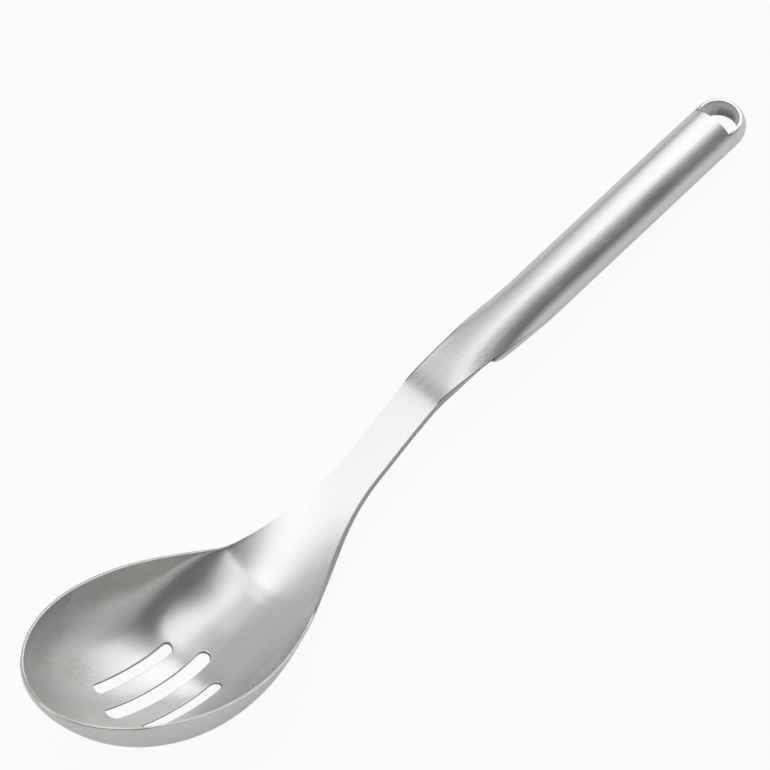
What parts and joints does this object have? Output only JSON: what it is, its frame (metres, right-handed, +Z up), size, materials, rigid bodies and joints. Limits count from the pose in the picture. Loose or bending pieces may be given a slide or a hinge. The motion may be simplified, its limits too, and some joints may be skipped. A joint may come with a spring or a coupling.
{
  "type": "slotted serving spoon",
  "caption": "Long-handled serving spoon with a deep pear-shaped slotted bowl, a flat neck and a hollow oval handle that ends in a hanging loop.",
  "frame": {"origin": "on the table, under the middle of the spoon's box, which is on the spoon's middle plane", "axes": "+X along the spoon towards the end of its handle, +Z up from the table, so that the bowl opens upwards; the left and right halves mirror each other in Y"},
  "size_m": [0.3398, 0.068, 0.0697],
  "materials": {
    "brushed_steel": "satin stainless steel with a fine grain along the handle",
    "inner_steel": "dull stainless steel inside the loop"
  },
  "bodies": {
    "root": {"spoon_pressing": "brushed_steel", "handle_back": "brushed_steel", "hang_loop": "brushed_steel", "end_plug": "inner_steel"}
  },
  "joints": []
}
